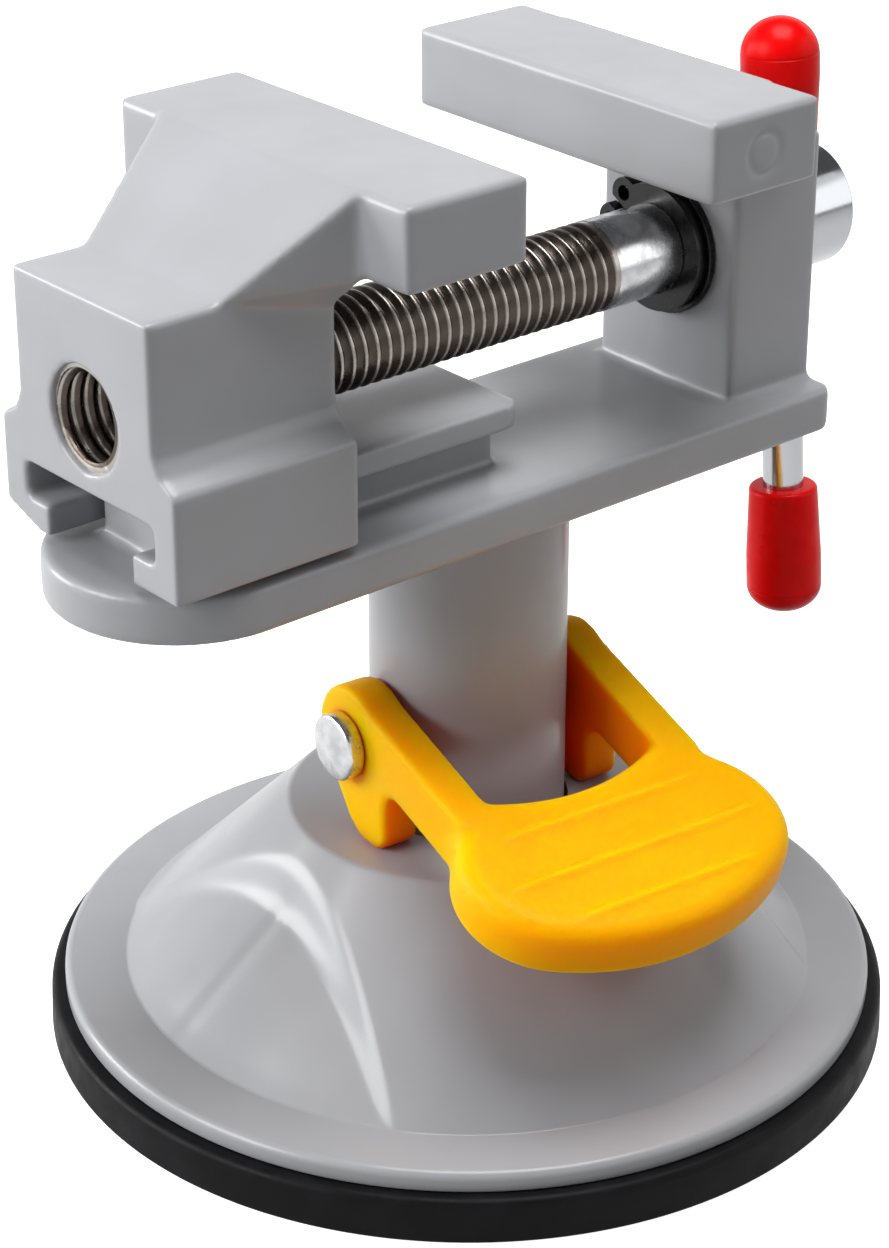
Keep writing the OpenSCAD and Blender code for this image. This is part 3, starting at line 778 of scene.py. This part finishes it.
def bed_solid(face):
    """The bed casting while its edges are sharp: bed, rail, post, fixed jaw, neck and boss."""
    bed_z, half_w, front, back = 51.1, 11.3, bed_low.x, bed_high.x
    boss_r, boss_z, hole_r = 5.8, 43.2, 4.1
    post_front, post_back = face + JAW_T + 1, face + JAW_T + 11.2
    round_r, corner_r = half_w - 0.01, 1.5
    plate = prism(rounded([(front, -half_w, round_r), (back, -half_w, corner_r),
                           (back, half_w, corner_r), (front, half_w, round_r)], steps=20),
                  bed_z, BED_TOP)
    soften(plate, 1.0, segments=3, sharper_than=60)
    jaw = block((face, -JAW_HALF_W, JAW_BOTTOM), (face + JAW_T, JAW_HALF_W, jaw_high.z))
    boss = spun([(0, boss_z), (boss_r, boss_z), (boss_r, bed_z + 1), (0, bed_z + 1)], 64)
    hole = moved(spun([(0, post_front - 3), (hole_r, post_front - 3), (hole_r, post_back + 3),
                       (0, post_back + 3)], 64), SCREW)
    joins = rail() + [post(post_front, post_back), jaw, neck(face, POST_HALF_W), boss]
    return combined(plate, joins, [hole])


def make_bed():
    """Bed casting, with the round mark of an ejector pin on its jaw's end."""
    face = jaw_high.x + JAW_OPENING
    bm = moulded(bed_solid(face), CAST_GRID, CAST_PASSES)
    mark_x, mark_z, mark_r, mark_depth, mark_w = face + 5.8, jaw_high.z - 3.5, 1.7, 0.16, 0.3
    for vert in bm.verts:
        if vert.co.y < -JAW_HALF_W + 0.3:
            away = math.hypot(vert.co.x - mark_x, vert.co.z - mark_z) - mark_r
            vert.co.y += mark_depth * math.exp(-(away / mark_w) ** 2)
    piece(bm, "bed_casting", "vise", "grey_paint", enamel, "vise_bed")


make_moving_jaw()
make_bed()


# ---------------------------------------------------------------- screw, clip and handle

PITCH, CREST_R, ROOT_R = 1.25, 4.0, 3.45
THREAD_END = 13.6
TURN_STEPS = 40


def helix(start, end, grow=0.0):
    """Threaded surface about X between two planes; grow adds to its radius."""
    # One ridge, as shares of the pitch and of the thread's depth.
    ridge = ((0, 0), (0.1, 0.03), (0.36, 0.88), (0.44, 1), (0.56, 1), (0.64, 0.88), (0.9, 0.03),
             (1, 0))
    bm = bmesh.new()
    first = math.floor((start - screw_low.x) / PITCH) * PITCH + screw_low.x - PITCH
    turns = math.ceil((end - first) / PITCH) + 1
    verts = [bm.verts.new((first + PITCH * x, ROOT_R + grow + (CREST_R - ROOT_R) * r, 0))
             for x, r in ridge]
    edges = [bm.edges.new(pair) for pair in zip(verts, verts[1:])]
    bmesh.ops.spin(bm, geom=verts + edges, cent=(0, 0, 0), axis=(1, 0, 0),
                   dvec=(PITCH / TURN_STEPS, 0, 0), angle=TURN * turns,
                   steps=TURN_STEPS * turns)
    bmesh.ops.remove_doubles(bm, verts=bm.verts, dist=1e-3)
    for plane, normal in ((start, -1), (end, 1)):
        bmesh.ops.bisect_plane(bm, geom=bm.verts[:] + bm.edges[:] + bm.faces[:], dist=1e-5,
                               plane_co=(plane, 0, 0), plane_no=(normal, 0, 0),
                               clear_outer=True)
    return bm


def open_edges(bm, near=None):
    """Edges with a face on one side only, all of them or those at one place along X."""
    return [e for e in bm.edges if e.is_boundary
            and (near is None or abs(e.verts[0].co.x - near) < 0.01)]


def make_thread():
    """The screw's rolled thread: tapered at its free end, run out to full radius at the other."""
    lead_slope, run_out = 0.9, 1.9
    bm = helix(screw_low.x, THREAD_END)
    for vert in bm.verts:
        radius = math.hypot(vert.co.y, vert.co.z)
        lead = ROOT_R - 0.1 + (vert.co.x - screw_low.x) * lead_slope
        fade = min(max((vert.co.x - THREAD_END + run_out) / run_out, 0), 1)
        wanted = min(radius + (CREST_R - radius) * fade ** 2, lead)
        vert.co.y *= wanted / radius
        vert.co.z *= wanted / radius
    bmesh.ops.holes_fill(bm, edges=open_edges(bm), sides=0)
    bmesh.ops.recalc_face_normals(bm, faces=bm.faces)
    moved(bm, Matrix.Translation((0, 0, SCREW_Z)))
    piece(bm, "screw_thread", "screw", "zinc_steel", thread, sharp=50)


def make_shank():
    """The screw's plain shank from the thread to the head, with the groove for the circlip."""
    groove_r, groove_low, groove_high = 3.4, clip_low.x - 0.02, clip_high.x + 0.02
    end = screw_high.x - HEAD_L - 0.5
    shank = rounded([(0, THREAD_END - 0.5, 0), (CREST_R - 0.1, THREAD_END - 0.5, 0),
                     (CREST_R, THREAD_END + 0.4, 0.3), (CREST_R, groove_low, 0.1),
                     (groove_r, groove_low, 0), (groove_r, groove_high, 0),
                     (CREST_R, groove_high, 0.1), (CREST_R, end, 0), (0, end, 0)], closed=False)
    piece(moved(spun(shank, 96), SCREW), "screw_shank", "screw", "zinc_steel", zinc,
          "lead_screw", sharp=40)


def make_head():
    """The screw's bright head, drilled for the bar."""
    head_r, neck_r, low, high = 5.64, 3.9, screw_high.x - HEAD_L, screw_high.x
    profile = rounded([(0, low - 0.6, 0), (neck_r, low - 0.6, 0), (neck_r, low, 0),
                       (head_r, low, 0.3), (head_r, high - 0.6, 0.25), (head_r - 0.6, high, 0.2),
                       (0, high, 0)], closed=False)
    hole_r, far = 1.98, 9
    hole = moved(spun([(0, -far), (hole_r, -far), (hole_r, far), (0, far)], 64), BAR)
    head = combined(moved(spun(profile, 128), SCREW), (), [hole])
    piece(head, "screw_head", "screw", "bright_chrome", chrome, sharp=30)


def make_nut_thread():
    """Threaded wall of the moving jaw's hole."""
    low, high = jaw_low.x + 0.45, jaw_high.x - JAW_T + 0.2
    wall_r, play = 4.5, 0.12
    bm = helix(low, high, play)
    ends = [open_edges(bm, x) for x in (low, high)]
    tube = bmesh.ops.create_cone(bm, cap_ends=False, segments=TURN_STEPS, radius1=wall_r,
                                 radius2=wall_r, depth=high - low)
    turned = Matrix.Translation(((low + high) / 2, 0, 0)) @ Matrix.Rotation(math.pi / 2, 4, "Y")
    bmesh.ops.transform(bm, matrix=turned, verts=tube["verts"])
    for x, inner in zip((low, high), ends):
        outer = [e for e in open_edges(bm, x) if e not in inner]
        bmesh.ops.bridge_loops(bm, edges=inner + outer)
    bmesh.ops.recalc_face_normals(bm, faces=bm.faces)
    moved(bm, Matrix.Translation((0, 0, SCREW_Z)))
    piece(bm, "nut_thread", "jaw", "zinc_steel", thread, sharp=50)


def copied(node, material, slot, body, name, width):
    """A CAD node's own shape with its edges eased."""
    bm = bmesh.new()
    bm.from_mesh(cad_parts[node].data)
    bmesh.ops.scale(bm, vec=(1 / MM,) * 3, verts=bm.verts)
    bmesh.ops.remove_doubles(bm, verts=bm.verts, dist=1e-4)
    bmesh.ops.dissolve_limit(bm, angle_limit=math.radians(1), verts=bm.verts, edges=bm.edges)
    soften(bm, width, segments=2, sharper_than=50)
    obj = piece(bm, name, body, slot, material, node, sharp=60)
    even_flats(obj)


def cap(bar_r, length, dome_h):
    """Dipped cap with its open end at z = 0 and a faint step where its domed end starts."""
    cap_r, widest_z = 3.53, length * 0.55
    dome_z, dome_r, step = length - dome_h, cap_r - 0.02, 0.05
    profile = [(bar_r, 0.5)]
    profile += rounded([(bar_r, 0, 0), (cap_r - 0.35, 0, 0.4), (cap_r, widest_z, 6),
                        (cap_r, dome_z, 0)], closed=False)
    profile += [(cap_r - step, dome_z + step), (dome_r, dome_z + 3 * step)]
    profile += [(dome_r * math.cos(a), dome_z + dome_h * math.sin(a))
                for a in [math.radians(6 + 84 * i / 12) for i in range(13)]]
    return spun(profile + [(0, 0.5)], 96)


def make_bar():
    """Tommy bar and its two caps, drawn along the bar's own axis."""
    bar_r, seat, length, upper_l, lower_l = 1.9, 5.69, 56.5, 11.8, 12.5
    low, cap_floor = seat + upper_l - length, 1.6
    bar_low, bar_high = low + cap_floor, seat + upper_l - cap_floor
    bar = rounded([(0, bar_low, 0), (bar_r, bar_low, 0.3), (bar_r, bar_high, 0.3),
                   (0, bar_high, 0)], closed=False)
    piece(moved(spun(bar, 64), BAR), "handle_bar", "bar", "bright_chrome", chrome, "tommy_bar",
          sharp=40)
    upside_down = Matrix.Rotation(math.pi, 4, "X")
    piece(moved(cap(bar_r, upper_l, 3.3), BAR, Matrix.Translation((0, 0, seat))), "cap_top", "bar",
          "red_plastic", vinyl, "upper_cap", sharp=40)
    piece(moved(cap(bar_r, lower_l, 2.5), BAR, Matrix.Translation((0, 0, low + lower_l)),
                upside_down), "cap_bottom", "bar", "red_plastic", vinyl, "lower_cap", sharp=40)


make_thread()
make_shank()
make_head()
make_nut_thread()
copied("circlip", oxide, "black_steel", "screw", "snap_ring", 0.12)
copied("thrust_washer", oxide, "black_steel", "screw", "black_washer", 0.08)
make_bar()

# The pieces inside the foot, the bed's screw and washer and the pin's ring keep their CAD shape.
CAD_FINISH = {"cup_plate": zinc, "cup_stem": zinc, "return_spring": zinc, "column_screw": oxide,
              "column_washer": zinc, "pin_ring": zinc}
for node_name, material in CAD_FINISH.items():
    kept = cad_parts[node_name].data.materials
    kept.clear()
    kept.append(material)


# ---------------------------------------------------------------- floor, light and background

def pale_floor():
    """Plain pale card: white to the eye, dimmer in gloss and in the light that it throws back."""
    material, tree, shader, _ = new_material("pale_floor", "#FFFFFF")
    ray = add(tree, "ShaderNodeLightPath", {}).outputs
    seen = add(tree, "ShaderNodeMath", {0: ray["Is Camera Ray"], 1: ray["Is Glossy Ray"]},
               operation="MAXIMUM").outputs[0]
    tint = add(tree, "ShaderNodeMix", {0: seen, 6: colour("#A0A0A0"), 7: colour("#C8C8C8")},
               data_type="RGBA")
    lift = add(tree, "ShaderNodeMapRange",
               {"Value": ray["Is Camera Ray"], "To Min": 0.3, "To Max": 0.97})
    glow = add(tree, "ShaderNodeMath", {0: seen, 1: lift.outputs["Result"]},
               operation="MULTIPLY")
    feed(tree, shader, {"Base Color": tint.outputs[2], "Roughness": 0.9,
                        "Specular IOR Level": 0, "Emission Color": colour("#FFFFFF"),
                        "Emission Strength": glow.outputs[0]})
    return material


def make_floor():
    """Plain floor, a hair below the foot."""
    gap, half_side = 0.05, 3000
    bm = bmesh.new()
    bmesh.ops.create_grid(bm, x_segments=1, y_segments=1, size=half_side * MM)
    bmesh.ops.translate(bm, verts=bm.verts, vec=(0, 0, -gap * MM))
    mesh = bpy.data.meshes.new("floor")
    bm.to_mesh(mesh)
    bm.free()
    mesh.materials.append(pale_floor())
    floor = bpy.data.objects.new("floor", mesh)
    bpy.context.scene.collection.objects.link(floor)


def make_lamp(name, place, aim, size, power):
    """Soft square lamp, aimed at a point; places are in metres."""
    data = bpy.data.lights.new(name, "AREA")
    data.shape = "RECTANGLE"
    data.size, data.size_y = size
    data.energy = power
    lamp = bpy.data.objects.new(name, data)
    direction = Vector(aim) - Vector(place)
    turn = direction.to_track_quat("-Z", "Y").to_matrix().to_4x4()
    lamp.matrix_world = Matrix.Translation(place) @ turn
    bpy.context.scene.collection.objects.link(lamp)


def make_world():
    """White for the camera, a dim fill, and for gloss a room that is bright low and dark above."""
    world = bpy.data.worlds.new("studio")
    world.use_nodes = True
    tree = world.node_tree
    ray = add(tree, "ShaderNodeLightPath", {}).outputs
    way = add(tree, "ShaderNodeTexCoord", {}).outputs["Generated"]
    height = add(tree, "ShaderNodeSeparateXYZ", {0: way})
    room = add(tree, "ShaderNodeMapRange",
               {"Value": height.outputs["Z"], "From Min": 0.46, "From Max": 0.56,
                "To Min": 1.0, "To Max": 0.04})
    gloss = add(tree, "ShaderNodeMath", {0: ray["Is Glossy Ray"], 1: room.outputs["Result"]},
                operation="MULTIPLY")
    fill = add(tree, "ShaderNodeMath", {0: gloss.outputs[0], 1: 0.11}, operation="MAXIMUM")
    strength = add(tree, "ShaderNodeMath", {0: fill.outputs[0], 1: ray["Is Camera Ray"]},
                   operation="MAXIMUM")
    feed(tree, tree.nodes["Background"], {"Color": (1, 1, 1, 1), "Strength": strength.outputs[0]})
    bpy.context.scene.world = world


make_floor()
make_lamp("top_lamp", (0.03, -0.03, 0.52), (0, 0, 0.05), (0.3, 0.3), 2.8)
make_lamp("left_lamp", (-0.5, 0.14, 0.31), (0, 0, 0.05), (0.3, 0.3), 2.6)
make_lamp("rim_lamp", (-0.36, 0.48, 0.15), (0, 0, 0.04), (0.25, 0.25), 2.2)
make_lamp("right_lamp", (0.45, -0.45, 0.3), (0, 0, 0.04), (0.5, 0.5), 0.8)
make_world()
bpy.context.scene.view_settings.view_transform = "Standard"
